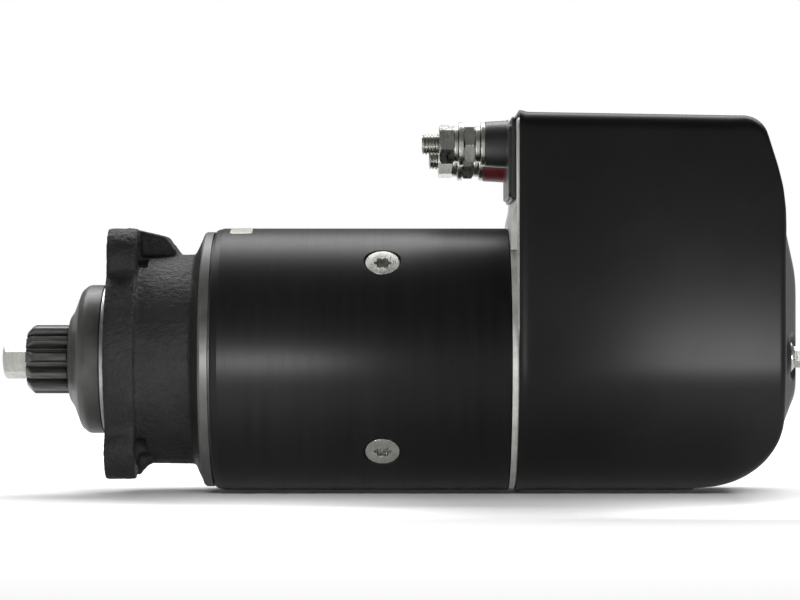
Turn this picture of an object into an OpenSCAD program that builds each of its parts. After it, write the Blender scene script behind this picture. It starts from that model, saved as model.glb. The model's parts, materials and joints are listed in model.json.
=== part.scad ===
// Heavy-duty coaxial sliding-gear starter motor.
// The rotation axis is X. The origin is on that axis in the flange's mounting face, the pinion points
// to -X, the rear cover to +X, and the control relay and terminals stand above the axis at +Z.
// An angle around the axis is counted from -Y towards +Z.

/* [Flange] */
// Radius of the machined pilot in front of the flange
pilot_r = 41.25; // [40:0.25:42]
// Thickness of the mounting flange
flange_t = 16.4; // [14:0.2:18]
// Radius of the circle that the mounting bolts sit on
bolt_circle_r = 61.4; // [60:0.1:63]
// Radius of each mounting bolt hole
bolt_hole_r = 7.75; // [6.5:0.25:8]
// Angle of the first mounting lobe
lobe_angle = 67.3; // [60:0.1:75]

/* [Yoke] */
// Outer radius of the yoke
yoke_r = 72.5; // [72:0.5:74]
// Front end of the yoke along the axis
yoke_x0 = 57.8; // [57.8:0.1:58]
// Rear end of the yoke along the axis
yoke_x1 = 218.8; // [218.6:0.1:219]
// Angle of the first pole screw
pole_angle = 47.5; // [45:0.5:50]

/* [Rear cover] */
// Height of the cover above the axis at its front
cover_top = 133; // [132:0.5:134]
// Radius of the cover's drawn rear edge
cover_rear_r = 43.5; // [42:0.5:45]
// Position of the cover's flat end face
cover_x1 = 364; // [363.5:0.5:365]

/* [Drive] */
// Number of pinion teeth
pinion_teeth = 11; // [9:1:13]
// Outer radius of the pinion
pinion_tip_r = 19; // [18.8:0.1:19.2]

/* [Hidden] */
$fn = 96;
past = 1;            // how far a cutter reaches past the face it cuts
slip = 0.03;         // radial gap of a pressed or threaded joint inside one body
run = 0.05;          // radial gap of a running or sliding fit

lobe_r = 15.3;
lobe_fillet = 8;
gusset_turn = 17;    // how far a lobe's gusset stands from its bolt hole
lobe_angles = [for (i = [0:2]) lobe_angle - 120 * i];
flange_r = 60;
ring_w = 3.8;        // width of the machined pilot ring
neck_r = 58;
rim_r = 70.5;
drum_cavity_r = 48;
bolt_ring_r = 54.5;  // circle of the two long through bolts
through_angles = [pole_angle + 45, pole_angle + 225];
pole_angles = [for (i = [0:3]) pole_angle - 90 * i];

nose_x0 = -23.1;
cap_r = 40.8;
spindle_r = 12;
spindle_x1 = 64;
pinion_x0 = -47;
pinion_x1 = -23.6;
pinion_bore_r = 9.5;
module_mm = 3;
pressure_angle = 20;

shaft_front_r = 21;
shaft_r = 13;
shaft_rear_r = 12;
core_x = [100, 200];
core_r = 44.5;
slot_count = 24;
commutator_x = [222.2, 256];
commutator_r = 26;

yoke_bore_r = 62.5;
plate_x = [221.9, 229.9];
plate_half = 70.3;
wall_x = [262, 270];
holder_x = [231.4, 251.4];
brush_w = 10;
brush_l = 17.4;
brush_top_r = 44;
holder_top_r = 57;

case_r = 34.5;
case_x1 = 334;
stroke = 16;
plunger_r = 18;
plunger_x0 = 314.5;
core_face_x = 296;
rod_r = 4;
tail_x = 357;        // position of the plunger's cross pin

lever_pivot = [346, 58];
lever_y = [7.2, 11.2];
relay_z = 108;
relay_stroke = 3.3;

stud_r = 5.85;
shank_r = 5.5;
near_stud = [-22, 118];
far_stud = [22, 112];
insulator_x0 = 205.5;
base_z = 87;         // lower edge of the terminal plate
nut_flats = 19;
stack = [203.2, 200.2, 193.8, 191.2, 188.6, 180.5];  // front faces of the stack, rear to front

cover_x0 = 222.4;
cover_half = yoke_r;
sheet = 2;
cover_corner_r = 9;
cover_slope_r = 14;
cover_edge_r = 4;
cover_bolt = [40, 2];
boss_x1 = 375;
boss_top = [31, -18, 45.6];   // half width, lowest and highest point of the boss's flat
boss_foot = [57, -36, 79];    // the same where the boss meets the end face
pad_x = 369.5;

// ---- shared shapes ----

module around(angle) {
    rotate([-angle, 0, 0]) children();
}

module rod_x(x0, x1, r) {
    translate([x0, 0, 0]) rotate([0, 90, 0]) cylinder(h = x1 - x0, r = r);
}

module ring_x(x0, x1, inner_r, outer_r) {
    difference() {
        rod_x(x0, x1, outer_r);
        rod_x(x0 - past, x1 + past, inner_r);
    }
}

module hex_x(x0, x1, flats) {
    translate([x0, 0, 0]) rotate([0, 90, 0]) cylinder(h = x1 - x0, r = flats / sqrt(3), $fn = 6);
}

// A body of revolution about X from [x, radius] points.
module turned(points) {
    rotate([0, 90, 0]) rotate_extrude() polygon([for (p = points) [p[1], p[0]]]);
}

// Part of a ring about X, centred on the -Y side.
module sector_x(x0, x1, inner_r, outer_r, half_angle) {
    rotate([0, 90, 0]) rotate([0, 0, -90 - half_angle]) rotate_extrude(angle = 2 * half_angle)
        translate([inner_r, x0]) square([outer_r - inner_r, x1 - x0]);
}

// Extrudes a Y-Z outline along X.
module prism_x(x0, x1) {
    translate([x0, 0, 0]) rotate([90, 0, 90]) linear_extrude(x1 - x0) children();
}

// Extrudes an X-Z outline along Y.
module prism_y(y0, y1) {
    translate([0, y1, 0]) rotate([90, 0, 0]) linear_extrude(y1 - y0) children();
}

// A coil spring about X: a ring of points is carried along the helix and skinned.
module spring_x(x0, x1, mean_r, wire_r, turns) {
    sides = 6;
    rings = 14 * turns;
    length = x1 - x0 - 2 * wire_r;
    points = [for (i = [0:rings], k = [0:sides - 1])
        let (turn = 360 * turns * i / rings, around_wire = 360 * k / sides,
             r = mean_r + wire_r * cos(around_wire))
        [x0 + wire_r + length * i / rings + wire_r * sin(around_wire), r * cos(turn), r * sin(turn)]];
    skin = [for (i = [0:rings - 1], k = [0:sides - 1])
        let (a = i * sides + k, b = i * sides + (k + 1) % sides)
        each [[a, b, b + sides], [a, b + sides, a + sides]]];
    start = [for (k = [sides - 1:-1:0]) k];
    end = [for (k = [0:sides - 1]) rings * sides + k];
    polyhedron(points, concat(skin, [start, end]));
}

// U-shaped outline: round below the axis, flat sides, rounded top corners.
module tombstone(half, top, corner_r) {
    circle(r = half);
    translate([-half, 0]) square([2 * half, top - corner_r]);
    translate([corner_r - half, 0]) square([2 * (half - corner_r), top]);
    for (side = [-1, 1]) translate([side * (half - corner_r), top - corner_r]) circle(r = corner_r);
}

function polar(r, angle) = [-r * cos(angle), r * sin(angle)];

// ---- front end ----

module flange_outline() {
    offset(r = -lobe_fillet) offset(delta = lobe_fillet) {
        circle(r = flange_r);
        for (a = lobe_angles) {
            translate(polar(bolt_circle_r, a)) circle(r = lobe_r);
            rotate(180 - a) translate([0, -lobe_r]) square([bolt_circle_r, 2 * lobe_r]);
        }
    }
}

module drive_housing() {
    color([0.09, 0.09, 0.09]) difference() {
        union() {
            prism_x(0, flange_t) flange_outline();
            turned([[-ring_w, 0], [-ring_w, pilot_r], [1, pilot_r], [1, neck_r], [46.4, neck_r],
                [52.4, rim_r], [yoke_x0, rim_r], [yoke_x0, 0]]);
            prism_y(4, 20) polygon([[flange_t - 1, 40], [flange_t - 1, 73], [30, 67.7], [38, 56.5],
                [38, 40]]);
            for (a = [lobe_angles[1], lobe_angles[2]]) around(a - gusset_turn) translate([0, 0, -3])
                linear_extrude(6) polygon([[flange_t - 1, -50], [flange_t - 1, -66], [flange_t + 1, -66],
                    [21, -61], [28, 0.5 - neck_r], [28, -50]]);
        }
        rod_x(-ring_w - past, 5, 36);
        rod_x(4, yoke_x0 + past, drum_cavity_r);
        for (a = lobe_angles) around(a) translate([0, -bolt_circle_r, 0])
            rod_x(-past, flange_t + 12, bolt_hole_r);
        for (a = through_angles) around(a) translate([0, -bolt_ring_r, 0])
            rod_x(48.5, yoke_x0 + past, 4 + slip);
    }
}

module nose_cap() {
    color([0.2, 0.2, 0.2]) difference() {
        union() {
            turned([[nose_x0, 0], [nose_x0, 24.2], [-20.9, 26.7], [-18.7, 32], [-16.5, 37.5],
                [-14.2, 40], [-12, cap_r], [-ring_w, cap_r], [-ring_w, 0]]);
            rod_x(-ring_w, 4, 36 - slip);
        }
        rod_x(nose_x0 - past, 4 + past, 17);
    }
}

module nose_seal() {
    color([0.05, 0.05, 0.05]) ring_x(nose_x0 + 0.4, -18, spindle_r + 0.1, 17 - slip);
}

module nose_bearing() {
    color([0.75, 0.75, 0.72]) ring_x(-17.6, 3.6, spindle_r + run, 17 - slip);
}

module nose_o_ring() {
    color([0.04, 0.04, 0.04]) rotate([0, 90, 0]) rotate_extrude() translate([33, 5.3]) circle(r = 1.2);
}

module bearing_plate() {
    color([0.6, 0.6, 0.6]) difference() {
        union() {
            rod_x(yoke_x0, 65.8, 66);
            rod_x(56, 74, 30);
        }
        rod_x(55, 75, 24);
        for (a = through_angles) around(a) translate([0, -bolt_ring_r, 0]) rod_x(56, 67, 4.4);
    }
}

module bearing_bush() {
    color([0.7, 0.5, 0.25]) ring_x(56, 74, shaft_front_r + run, 24 - slip);
}

// ---- yoke and field ----

module yoke() {
    color([0.06, 0.06, 0.06]) difference() {
        turned([[yoke_x0, 66.05], [yoke_x0, yoke_r - 1.4], [yoke_x0 + 4, yoke_r],
            [yoke_x1 - 0.8, yoke_r], [yoke_x1, yoke_r - 0.8], [yoke_x1, yoke_bore_r],
            [65.8, yoke_bore_r], [65.8, 66.05]]);
        for (a = pole_angles) around(a) translate([149.7, 0, 0]) rotate([90, 0, 0]) {
            cylinder(h = 90, r = 5.4);
            translate([0, 0, yoke_r - 5.2]) cylinder(h = 5.2 + past, r1 = 5.4, r2 = 11.6);
        }
    }
}

module pole_shoes() {
    color([0.35, 0.35, 0.36]) for (a = pole_angles) around(a) difference() {
        union() {
            sector_x(core_x[0], core_x[1], 45.5, 50, 30);
            sector_x(core_x[0], core_x[1], 49, yoke_bore_r - slip, 17);
        }
        translate([149.7, 0, 0]) rotate([90, 0, 0]) translate([0, 0, 50]) cylinder(h = 20, r = 5.03);
    }
}

module pole_screws() {
    color([0.6, 0.6, 0.62]) for (a = pole_angles) around(a)
        translate([149.7, 0, 0]) rotate([90, 0, 0]) difference() {
            union() {
                translate([0, 0, 51]) cylinder(h = 20, r = 5);
                translate([0, 0, yoke_r - 5]) cylinder(h = 4.3, r1 = 5, r2 = 9.25);
            }
            for (i = [0:5]) rotate(60 * i) translate([3.3, 0, yoke_r - 3.6]) cylinder(h = 5, r = 1.4);
            translate([0, 0, yoke_r - 3.6]) cylinder(h = 5, r = 3.4);
        }
}

module field_coils() {
    color([0.55, 0.3, 0.15]) for (a = pole_angles) around(a) difference() {
        sector_x(core_x[0] - 12, core_x[1] + 12, 50.3, yoke_bore_r - 0.6, 31);
        sector_x(core_x[0] - 0.5, core_x[1] + 0.5, 50, yoke_bore_r, 17.6);
    }
}

module through_bolts() {
    color([0.6, 0.6, 0.62]) for (a = through_angles) around(a) translate([0, -bolt_ring_r, 0]) {
        rod_x(50, plate_x[1] + 1, 4);
        hex_x(plate_x[1], plate_x[1] + 6, 13);
    }
}

// ---- commutator end ----

module end_shield() {
    color([0.62, 0.62, 0.6]) difference() {
        union() {
            prism_x(plate_x[0], plate_x[1]) tombstone(plate_half, 130, 8);
            ring_x(214, plate_x[0] + past, 58.5, yoke_bore_r - slip);
            ring_x(plate_x[1] - past, wall_x[1], 62, 66);
            rod_x(wall_x[0], wall_x[1], 63);
            rod_x(256.5, wall_x[0] + past, 19);
            turned([[yoke_x1, 58.5], [yoke_x1, yoke_r - 0.2], [plate_x[0], yoke_r - 0.2],
                [plate_x[0], plate_half - 1], [plate_x[0] + past, plate_half - 1], [plate_x[0] + past, 58.5]]);
            prism_y(-48, 48) polygon([[plate_x[0] + past, 60], [plate_x[0] + past, base_z],
                [plate_x[0], base_z], [yoke_x1 + 0.5, 76], [yoke_x1, 70], [yoke_x1, 60]]);
        }
        rod_x(210, plate_x[1] + past, 40);
        rod_x(250, wall_x[1] + past, 15);
        prism_x(plate_x[0] + 3.1, plate_x[0] + 6.1) difference() {
            tombstone(plate_half + past, 130 + past, 8);
            tombstone(plate_half - 2, 128, 6);
        }
        for (a = through_angles) around(a) translate([0, -bolt_ring_r, 0])
            rod_x(210, plate_x[1] + past, 4.4);
        for (a = pole_angles) around(a) translate([234, -80, -13]) cube([24, 30, 26]);
        for (side = [-1, 1]) translate([0, side * cover_bolt[0], cover_bolt[1]]) rod_x(260, 272, 3 + slip);
        for (i = [0:3]) around(45 + 90 * i) translate([0, -39.5, 0]) rod_x(260, 272, 2.5 + slip);
        for (p = [near_stud, far_stud]) translate([0, p[0], p[1]]) rod_x(210, 240, stud_r + 1.5);
    }
}

module rear_bush() {
    color([0.7, 0.5, 0.25]) ring_x(257, wall_x[1], shaft_rear_r + run, 15 - slip);
}

module brush_holders() {
    color([0.7, 0.6, 0.3]) {
        ring_x(plate_x[1], holder_x[0], 40.5, 47.5);
        for (a = pole_angles) around(a) difference() {
            translate([holder_x[0], -holder_top_r - 1.5, -brush_w / 2 - 1.6])
                cube([holder_x[1] - holder_x[0], holder_top_r + 1.5 - 31, brush_w + 3.2]);
            translate([holder_x[0] + 1, -holder_top_r, -brush_w / 2 - 0.3])
                cube([brush_l + 0.6, holder_top_r - 30, brush_w + 0.6]);
        }
    }
}

module brush(index) {
    color([0.16, 0.15, 0.15]) around(pole_angles[index]) difference() {
        translate([holder_x[0] + 1.3, -brush_top_r, -brush_w / 2])
            cube([brush_l, brush_top_r - 20, brush_w]);
        rod_x(200, 270, commutator_r + 0.35);
    }
}

module brush_springs() {
    color([0.5, 0.5, 0.5]) for (a = pole_angles) around(a)
        translate([(holder_x[0] + holder_x[1]) / 2, -brush_top_r - 0.1, 0]) rotate([0, 0, 180])
            rotate([0, 0, 90]) spring_x(0, holder_top_r - brush_top_r - 0.2, 3.6, 0.5, 5);
}

// ---- engagement solenoid ----

module solenoid_case() {
    color([0.3, 0.3, 0.32]) difference() {
        union() {
            rod_x(wall_x[1], case_x1, case_r);
            rod_x(wall_x[1], wall_x[1] + 4, 44);
        }
        rod_x(wall_x[1] + 4, case_x1 - 3, case_r - 3.5);
        rod_x(wall_x[1] - past, wall_x[1] + 5, 17.5);
        rod_x(case_x1 - 4, case_x1 + past, plunger_r + 0.5);
        for (side = [-1, 1]) translate([0, side * cover_bolt[0], cover_bolt[1]]) rod_x(268, 276, 3.4);
        for (i = [0:3]) around(45 + 90 * i) translate([0, -39.5, 0]) rod_x(268, 276, 2.6);
    }
}

module solenoid_winding() {
    color([0.6, 0.35, 0.15]) ring_x(wall_x[1] + 4.3, case_x1 - 3.3, plunger_r + run, case_r - 4);
}

module solenoid_core() {
    color([0.4, 0.4, 0.42]) ring_x(272.5, core_face_x, rod_r + 0.3, 17.4);
}

module solenoid_screws() {
    color([0.6, 0.6, 0.62]) for (i = [0:3]) around(45 + 90 * i) translate([0, -39.5, 0]) {
        rod_x(263, wall_x[1] + 5, 2.5);
        difference() {
            rod_x(wall_x[1] + 4, wall_x[1] + 8, 4.25);
            hex_x(wall_x[1] + 5.5, wall_x[1] + 9, 4);
        }
    }
}

module plunger() {
    color([0.55, 0.55, 0.57]) difference() {
        union() {
            rod_x(plunger_x0, 345, plunger_r);
            rod_x(344, 361, 6);
            translate([tail_x, 0, 0]) rotate([-90, 0, 0]) cylinder(h = 11.6, r = 2);
        }
        rod_x(plunger_x0 - past, 320.1, rod_r + slip);
    }
}

module engagement_rod() {
    color([0.62, 0.62, 0.64]) rod_x(spindle_x1 + 0.3, 320, rod_r);
}

module plunger_spring() {
    color([0.5, 0.5, 0.5]) spring_x(core_face_x + 0.1, plunger_x0 - 0.1, 9, 1, 5);
}

module lever_bracket() {
    color([0.5, 0.5, 0.4]) {
        translate([case_x1, -8, 22]) cube([3, 22, 10]);
        difference() {
            prism_y(12, 16) polygon([[case_x1, 22], [case_x1 + 6, 22], [354, 52], [354, 66], [338, 66],
                [case_x1, 44]]);
            translate([lever_pivot[0], 0, lever_pivot[1]]) rotate([-90, 0, 0]) cylinder(h = 20, r = 2.9);
        }
        translate([lever_pivot[0], 0, lever_pivot[1]]) rotate([-90, 0, 0]) {
            translate([0, 0, 5]) cylinder(h = 1.9, r = 5);
            translate([0, 0, 5]) cylinder(h = 11, r = 3);
        }
    }
}

module release_lever() {
    color([0.55, 0.55, 0.5]) difference() {
        union() {
            prism_y(lever_y[0], lever_y[1]) polygon([[340, 60], [320, 95], [320, 103], [327, 103],
                [352, 60], [362, -5], [352, -5]]);
            translate([lever_pivot[0], lever_y[0], lever_pivot[1]]) rotate([-90, 0, 0])
                cylinder(h = lever_y[1] - lever_y[0], r = 8);
        }
        translate([tail_x, 0, 0]) rotate([0, -11, 0]) translate([-2.5, 0, -12]) cube([5, 20, 16]);
        translate([lever_pivot[0], 0, lever_pivot[1]]) rotate([-90, 0, 0]) cylinder(h = 20, r = 3 + run);
    }
}

// ---- control relay and terminals ----

module relay_frame() {
    color([0.5, 0.5, 0.4]) {
        difference() {
            translate([267, -17, relay_z - 20]) cube([3, 34, 38]);
            translate([0, 0, relay_z]) rod_x(266, 271, 6.6);
        }
        difference() {
            union() {
                translate([304, -17, relay_z - 20]) cube([3, 34, 38]);
                translate([0, 0, relay_z]) rod_x(292.5, 305, 6.2);
            }
            translate([0, 0, relay_z]) rod_x(290, 308, 2.5 + 2 * run);
        }
        translate([267, -17, relay_z - 20]) cube([40, 34, 3]);
        translate([wall_x[1], -12, 50]) cube([3, 24, 40]);
    }
}

module relay_coil() {
    color([0.6, 0.35, 0.15]) translate([0, 0, relay_z]) ring_x(270.2, 303.8, 6.3, 16);
}

module relay_armature() {
    color([0.6, 0.6, 0.62]) translate([0, 0, relay_z]) {
        rod_x(253, 315, 2.5);
        rod_x(264.3, 288, 6.1);
        rod_x(312, 315.5, 12);
    }
}

module contact_bridge() {
    color([0.72, 0.45, 0.25]) difference() {
        translate([255, -26, relay_z - 5]) cube([3.4, 52, 12]);
        translate([0, 0, relay_z]) rod_x(250, 260, 2.5 + slip);
    }
}

module relay_spring() {
    color([0.5, 0.5, 0.5]) translate([0, 0, relay_z]) spring_x(258.6, 266.8, 8, 0.5, 3);
}

module bus_bars() {
    color([0.72, 0.45, 0.25]) for (side = [-1, 1]) scale([1, side, 1]) {
        stud_z = side < 0 ? near_stud[1] : far_stud[1];
        difference() {
            translate([231.2, 13, stud_z - 9]) cube([3, 24, 17]);
            translate([0, 22, stud_z]) rod_x(230, 236, stud_r + 0.1);
        }
        translate([231.2, 34, 103]) cube([35.4, 3, 20]);
        translate([262.1, 12, 103]) cube([4.5, 24, 12]);
    }
}

module terminal_plate() {
    color([0.05, 0.05, 0.05]) difference() {
        prism_x(217.9, plate_x[0]) translate([-42, base_z]) square([84, 132 - base_z]);
        for (p = [near_stud, far_stud]) translate([0, p[0], p[1]]) rod_x(210, 225, stud_r + 0.1);
        prism_y(-60, 60) polygon([[216, base_z - 2], [217, base_z + 3], [219, base_z - 2]]);
    }
}

module insulator(place) {
    translate([0, place[0], place[1]]) difference() {
        translate([insulator_x0, 0, 0]) rotate([0, 90, 0]) cylinder(h = 12.4, r1 = 12.3, r2 = 13);
        rod_x(insulator_x0 - past, 220, stud_r + 0.1);
    }
}

module black_insulator() {
    color([0.05, 0.05, 0.05]) insulator(near_stud);
}

module red_insulator() {
    color([0.36, 0.08, 0.09]) insulator(far_stud);
}

module terminal_studs() {
    color([0.7, 0.7, 0.68]) for (s = [[near_stud, 171.1], [far_stud, 175.4]])
        translate([0, s[0][0], s[0][1]]) {
            turned([[s[1], 0], [s[1], stud_r - 0.8], [s[1] + 0.8, stud_r], [stack[5], stud_r],
                [stack[5], shank_r], [234.2, shank_r], [234.2, 0]]);
            hex_x(234.2, 240, nut_flats);
        }
}

// Both terminals carry the same stack, each nut turned by its own angle.
module on_studs(near_turn, far_turn) {
    translate([0, near_stud[0], near_stud[1]]) around(near_turn) children();
    translate([0, far_stud[0], far_stud[1]]) around(far_turn) children();
}

module nut(x0, x1) {
    difference() {
        intersection() {
            hex_x(x0, x1, nut_flats);
            turned([[x0, 0], [x0, 9.5], [x0 + 0.9, 11.2], [x1 - 0.9, 11.2], [x1, 9.5], [x1, 0]]);
        }
        rod_x(x0 - past, x1 + past, shank_r + slip);
    }
}

module outer_nuts() {
    color([0.72, 0.72, 0.7]) on_studs(12, -20) nut(stack[5], stack[4]);
}

module inner_nuts() {
    color([0.6, 0.6, 0.6]) on_studs(26, 7) nut(stack[2], stack[1]);
}

module spring_washers() {
    color([0.65, 0.65, 0.64]) on_studs(0, 0) for (x = [[stack[4], stack[3]], [stack[1], stack[0]]])
        difference() {
            ring_x(x[0], x[1], stud_r + 0.2, 10);
            translate([x[0] - past, -12, -0.7]) cube([6, 8, 1.4]);
        }
}

module flat_washers() {
    color([0.65, 0.65, 0.64]) on_studs(0, 0) {
        ring_x(stack[3], stack[2], stud_r + 0.2, 12);
        ring_x(stack[0], insulator_x0, stud_r + 0.2, 12);
    }
}

// ---- rear cover ----

// The cover's side profile: a falling roof, a steep rounded shoulder and a round lower rear edge.
module cover_profile(inset, x0) {
    rear = cover_x1 - inset;
    rear_r = cover_rear_r - inset;
    bottom = inset - cover_half;
    top = cover_top - inset;
    slope_r = cover_slope_r - inset;
    slope_at = [341, cover_top - 2 - cover_slope_r];
    polygon([[x0, bottom], [x0, top], [slope_at[0], top - 2],
        [slope_at[0] + slope_r * cos(14), slope_at[1] + slope_r * sin(14)],
        [rear - 4.6, 105], [rear - 1.8, 94], [rear - 0.4, 84], [rear, 76],
        [rear, bottom + rear_r], [rear - rear_r, bottom]]);
    translate(slope_at) circle(r = slope_r);
    intersection() {
        translate([rear - rear_r, bottom + rear_r]) circle(r = rear_r);
        translate([rear - rear_r, bottom]) square(rear_r);
    }
}

// The cover's filled shape, drawn in by inset on every side but the open front.
module cover_body(inset, x0) {
    half = cover_half - inset;
    rear = cover_x1 - inset;
    top = cover_top - inset;
    edge_r = cover_edge_r - inset;
    intersection() {
        prism_y(-half - 1, half + 1) cover_profile(inset, x0);
        union() {
            intersection() {
                linear_extrude(top + 1) cover_plan(half, rear, x0, edge_r);
                prism_x(x0, rear) tombstone(half, top, cover_corner_r - inset / 2);
            }
            intersection() {
                translate([x0, -half, -half]) cube([rear - x0, 2 * half, half]);
                rotate([0, 90, 0]) rotate_extrude() {
                    translate([0, x0]) square([half, rear - edge_r - x0]);
                    translate([0, x0]) square([half - edge_r, rear - x0]);
                    intersection() {
                        translate([half - edge_r, rear - edge_r]) circle(r = edge_r);
                        square([half, rear]);
                    }
                }
            }
        }
    }
}

// The cover seen from above, with rounded rear corners.
module cover_plan(half, rear, x0, edge_r) {
    translate([x0, -half]) square([rear - edge_r - x0, 2 * half]);
    translate([x0, edge_r - half]) square([rear - x0, 2 * (half - edge_r)]);
    for (side = [-1, 1]) translate([rear - edge_r, side * (half - edge_r)]) circle(r = edge_r);
}

// The pressed boss: a flat with four sloping sides.
module cover_boss(inset) {
    foot = cover_x1 - 3;
    top = boss_x1 - inset;
    trim = inset / 2;
    intersection() {
        prism_y(-60, 60) polygon([[foot, boss_foot[1] + trim], [cover_x1 - inset, boss_foot[1] + trim],
            [top, boss_top[1] + trim], [top, boss_top[2] - trim], [cover_x1 - inset, boss_foot[2] - trim],
            [foot, boss_foot[2] - trim]]);
        linear_extrude(200, center = true) polygon([[foot, trim - boss_foot[0]],
            [cover_x1 - inset, trim - boss_foot[0]], [top, trim - boss_top[0]], [top, boss_top[0] - trim],
            [cover_x1 - inset, boss_foot[0] - trim], [foot, boss_foot[0] - trim]]);
    }
}

// Round seats pressed out under the two bolts.
module cover_pads(x1, r) {
    for (side = [-1, 1]) translate([0, side * cover_bolt[0], cover_bolt[1]]) rod_x(cover_x1 - 3, x1, r);
}

module rear_cover() {
    color([0.05, 0.05, 0.05]) difference() {
        union() {
            cover_body(0, cover_x0);
            prism_x(cover_x0, cover_x0 + 3) tombstone(cover_half + 1, cover_top + 1.2, cover_corner_r);
            cover_boss(0);
            cover_pads(pad_x, 9.5);
        }
        cover_body(sheet, cover_x0 - past);
        cover_boss(sheet);
        cover_pads(pad_x - sheet, 9.5 - sheet);
        for (side = [-1, 1]) translate([0, side * cover_bolt[0], cover_bolt[1]]) {
            rod_x(pad_x, 385, 9.5);
            rod_x(360, 385, 3.4);
        }
    }
}

module cover_seal() {
    color([0.03, 0.03, 0.03]) prism_x(plate_x[0] + 3.2, plate_x[0] + 6) difference() {
        tombstone(cover_half - sheet - 0.05, cover_top - sheet - 0.15, 8);
        tombstone(plate_half - 1.9, 128.1, 6);
    }
}

module cover_bolts() {
    head_x0 = pad_x + 2.4;
    color([0.72, 0.72, 0.7]) for (side = [-1, 1]) translate([0, side * cover_bolt[0], cover_bolt[1]]) {
        rod_x(263, head_x0 + 1, 3);
        difference() {
            hex_x(head_x0, head_x0 + 4, 10);
            turned([[370, 5.4], [head_x0 + 3.4, 5.9], [head_x0 + 5, 4.6], [head_x0 + 5, 9], [370, 9]]);
        }
    }
}

module cover_washers() {
    color([0.72, 0.72, 0.7]) for (side = [-1, 1]) translate([0, side * cover_bolt[0], cover_bolt[1]])
        turned([[pad_x, 3.2], [pad_x, 8.25], [pad_x + 0.6, 8.25], [pad_x + 2.4, 5.5],
            [pad_x + 2.4, 3.2]]);
}

module blank_label() {
    color([0.75, 0.75, 0.72]) around(92) sector_x(66, 78, yoke_r + 0.01, yoke_r + 0.2, 20);
}

// ---- armature and clutch ----

module armature_shaft() {
    color([0.6, 0.6, 0.62]) difference() {
        turned([[46, 0], [46, shaft_front_r], [84, shaft_front_r], [88, shaft_r], [256, shaft_r],
            [256, shaft_rear_r], [271, shaft_rear_r], [271, 0]]);
        rod_x(45, 82, 16.5);
        rod_x(80, 272, 5);
    }
}

module armature_core() {
    color([0.3, 0.3, 0.31]) difference() {
        ring_x(core_x[0], core_x[1], shaft_r + slip, core_r);
        for (i = [0:slot_count - 1]) around(360 / slot_count * i)
            translate([core_x[0] - past, -core_r - 1, -2.2]) cube([102, 12, 4.4]);
    }
}

module armature_winding() {
    color([0.6, 0.35, 0.15]) {
        ring_x(86, core_x[0] - 0.1, 28, 42);
        ring_x(core_x[1] + 0.1, 215, 28, 42);
        for (i = [0:slot_count - 1]) around(360 / slot_count * i)
            translate([core_x[0] - 6, -core_r + 0.6, -2.1]) cube([112, 10, 4.2]);
    }
}

module commutator() {
    color([0.72, 0.45, 0.25]) difference() {
        union() {
            ring_x(commutator_x[0], commutator_x[1], shaft_r + slip, commutator_r);
            ring_x(216, commutator_x[0] + 1, shaft_r + slip, 34);
        }
        for (i = [0:slot_count - 1]) around(360 / slot_count * (i + 0.5))
            translate([215, -36, -0.4]) cube([50, 11.2, 0.8]);
    }
}

module clutch_drum() {
    color([0.4, 0.4, 0.42]) {
        ring_x(8, 52, 40.2, 44);
        ring_x(8, 11, 20 + run, 43);
        ring_x(46.2, 52, shaft_front_r + slip, 43);
    }
}

module outer_plates() {
    color([0.5, 0.45, 0.35]) for (i = [0:4]) ring_x(13.5 + 4 * i, 15.1 + 4 * i, 21, 40.1);
}

module clutch_hub() {
    color([0.45, 0.45, 0.47]) ring_x(6, 32, spindle_r + run, 20);
}

module inner_plates() {
    color([0.45, 0.42, 0.38]) for (i = [0:3]) ring_x(15.5 + 4 * i, 17.1 + 4 * i, 20 + slip, 38.5);
}

// ---- pinion and spindle ----

module pinion_spindle() {
    color([0.62, 0.62, 0.64]) union() {
        turned([[-54, 0], [-54, 5.4], [-53.2, 6], [-46.9, 6], [-46.9, pinion_bore_r],
            [pinion_x1, pinion_bore_r], [pinion_x1, spindle_r], [60, spindle_r], [60, 16.45],
            [spindle_x1, 16.45], [spindle_x1, 0]]);
    }
}

function involute(angle) = tan(angle) * 180 / PI - angle;

// Half of the tooth's angular thickness at a radius, for an involute flank above the base circle.
function half_tooth(r, base_r, half_at_pitch) =
    half_at_pitch + involute(pressure_angle) - involute(acos(min(1, base_r / max(r, base_r))));

module pinion() {
    pitch_r = module_mm * pinion_teeth / 2;
    base_r = pitch_r * cos(pressure_angle);
    root_r = pinion_tip_r - 2.05 * module_mm;
    half_at_pitch = 90 / pinion_teeth + 1.5;
    flank = [for (i = [0:5]) root_r + (pinion_tip_r - root_r) * i / 5];
    tooth_turn = 5;
    color([0.22, 0.22, 0.22]) around(tooth_turn) difference() {
        intersection() {
            prism_x(pinion_x0, pinion_x1) polygon([for (t = [0:pinion_teeth - 1])
                each concat([for (i = [0:5]) polar(flank[i],
                        360 / pinion_teeth * t - half_tooth(flank[i], base_r, half_at_pitch))],
                    [for (i = [5:-1:0]) polar(flank[i],
                        360 / pinion_teeth * t + half_tooth(flank[i], base_r, half_at_pitch))])]);
            turned([[pinion_x0, 0], [pinion_x0, 15.2], [pinion_x0 + 3.6, pinion_tip_r],
                [pinion_x1, pinion_tip_r], [pinion_x1, 0]]);
        }
        rod_x(pinion_x0 - past, pinion_x1 + past, pinion_bore_r + slip);
    }
}

module pinion_cap_nut() {
    color([0.75, 0.75, 0.72]) around(-8) difference() {
        intersection() {
            hex_x(-61, pinion_x0, nut_flats);
            turned([[-61, 0], [-61, 7.4], [-60.2, 9.2], [-58.2, 11.2], [pinion_x0, 11.2], [pinion_x0, 0]]);
        }
        rod_x(-54.3, pinion_x0 + past, 6 + slip);
    }
}

module pinion_spring() {
    color([0.5, 0.5, 0.5]) spring_x(32.3, 59.8, 14.2, 1, 6);
}

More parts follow.
